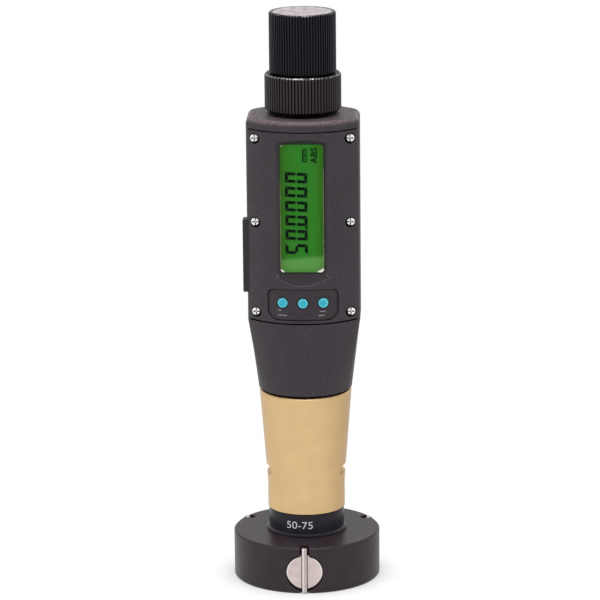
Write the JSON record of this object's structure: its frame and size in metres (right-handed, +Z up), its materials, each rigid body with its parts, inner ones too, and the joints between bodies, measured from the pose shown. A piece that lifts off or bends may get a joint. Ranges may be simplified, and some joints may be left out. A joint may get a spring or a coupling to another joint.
{
  "type": "digital inside micrometer",
  "caption": "Bore gauge with a wide anvil head, gold sleeve, oval housing with display, keys and battery tray, and a ribbed ratchet thimble.",
  "frame": {"origin": "centre of the underside of the measuring head, which it stands on", "axes": "+Z up along the spindle to the ratchet knob, -Y towards the display and the front anvil, -X towards the battery tray"},
  "size_m": [0.049, 0.0495, 0.1914],
  "materials": {
    "head_black": "satin black hard coat",
    "steel": "ground",
    "carbide": "ground, hard",
    "spring_steel": "drawn wire",
    "collar_black": "gloss black",
    "gold_anodised": "gold anodised, satin",
    "housing_grey": "charcoal fine texture",
    "cover_grey": "charcoal fine texture",
    "screw_bright": "bright",
    "window_clear": "polished",
    "lcd": "green backlit display cell",
    "board_green": "circuit board",
    "black_plastic": "satin",
    "button_cyan": "smooth cyan",
    "tray_black": "satin",
    "ring_black": "black anodised, ribbed",
    "knob_black": "black anodised, ribbed",
    "cap_metal": "turned",
    "brass": "turned"
  },
  "bodies": {
    "instrument": {"head_disc": "head_black", "head_cover": "head_black", "head_cover_screws": "steel", "guide_pins": "steel", "range_collar": "collar_black", "sleeve": "gold_anodised", "housing": "housing_grey", "front_cover": "cover_grey", "front_cover_screws": "screw_bright", "display_window": "window_clear", "lcd_panel": "lcd", "circuit_board": "board_green", "key_switches": "black_plastic", "battery_contacts": "brass", "thimble_bearing": "brass", "encoder_stator": "board_green", "spindle_bush": "brass", "spindle_key": "steel", "anvil_spring_front": "spring_steel", "anvil_spring_left_rear": "spring_steel", "anvil_spring_right_rear": "spring_steel"},
    "thimble": {"thimble_ring": "ring_black", "drive_screw": "steel", "thimble_nut": "brass", "encoder_disc": "board_green", "ratchet_wheel": "steel", "knob_screw": "steel"},
    "knob": {"ratchet_knob": "knob_black", "knob_cap": "cap_metal", "ratchet_plate": "steel", "ratchet_spring": "spring_steel"},
    "spindle": {"spindle": "steel", "measuring_cone": "steel"},
    "anvil_front": {"anvil_front": "steel", "contact_pin_front": "carbide"},
    "anvil_left_rear": {"anvil_left_rear": "steel", "contact_pin_left_rear": "carbide"},
    "anvil_right_rear": {"anvil_right_rear": "steel", "contact_pin_right_rear": "carbide"},
    "button_left": {"button_left": "button_cyan"},
    "button_middle": {"button_middle": "button_cyan"},
    "button_right": {"button_right": "button_cyan"},
    "battery_tray": {"battery_tray": "tray_black", "coin_cell": "steel"}
  },
  "joints": [
    {"name": "thimble_turn", "type": "hinge", "parent": "instrument", "child": "thimble", "pos_m": [0, 0, 0.1647], "axis": [0, 0, -1], "range_deg": [0, 4501]},
    {"name": "knob_slip", "type": "hinge", "parent": "thimble", "child": "knob", "pos_m": [0, 0, 0.1811], "axis": [0, 0, -1], "continuous": true},
    {"name": "spindle_feed", "type": "slide", "parent": "instrument", "child": "spindle", "axis": [0, 0, -1], "range_m": [0, 0.00625]},
    {"name": "anvil_front_out", "type": "slide", "parent": "instrument", "child": "anvil_front", "axis": [0, -1, 0], "range_m": [0, 0.01251], "deforming": ["anvil_spring_front"]},
    {"name": "anvil_right_rear_out", "type": "slide", "parent": "instrument", "child": "anvil_right_rear", "axis": [0.866, 0.5, 0], "range_m": [0, 0.01251], "deforming": ["anvil_spring_right_rear"]},
    {"name": "anvil_left_rear_out", "type": "slide", "parent": "instrument", "child": "anvil_left_rear", "axis": [-0.866, 0.5, 0], "range_m": [0, 0.01251], "deforming": ["anvil_spring_left_rear"]},
    {"name": "button_left_press", "type": "slide", "parent": "instrument", "child": "button_left", "axis": [0, 1, 0], "range_m": [0, 0.0005], "stiffness_N_per_m": 1500},
    {"name": "button_middle_press", "type": "slide", "parent": "instrument", "child": "button_middle", "axis": [0, 1, 0], "range_m": [0, 0.0005], "stiffness_N_per_m": 1500},
    {"name": "button_right_press", "type": "slide", "parent": "instrument", "child": "button_right", "axis": [0, 1, 0], "range_m": [0, 0.0005], "stiffness_N_per_m": 1500},
    {"name": "battery_tray_pull", "type": "slide", "parent": "instrument", "child": "battery_tray", "axis": [-1, 0, 0], "range_m": [0, 0.024]}
  ],
  "couplings": [
    {"joint": "thimble_turn", "follows": "spindle_feed", "rad_per_m": 12566},
    {"joint": "anvil_front_out", "follows": "spindle_feed", "ratio": 2},
    {"joint": "anvil_right_rear_out", "follows": "spindle_feed", "ratio": 2},
    {"joint": "anvil_left_rear_out", "follows": "spindle_feed", "ratio": 2}
  ]
}
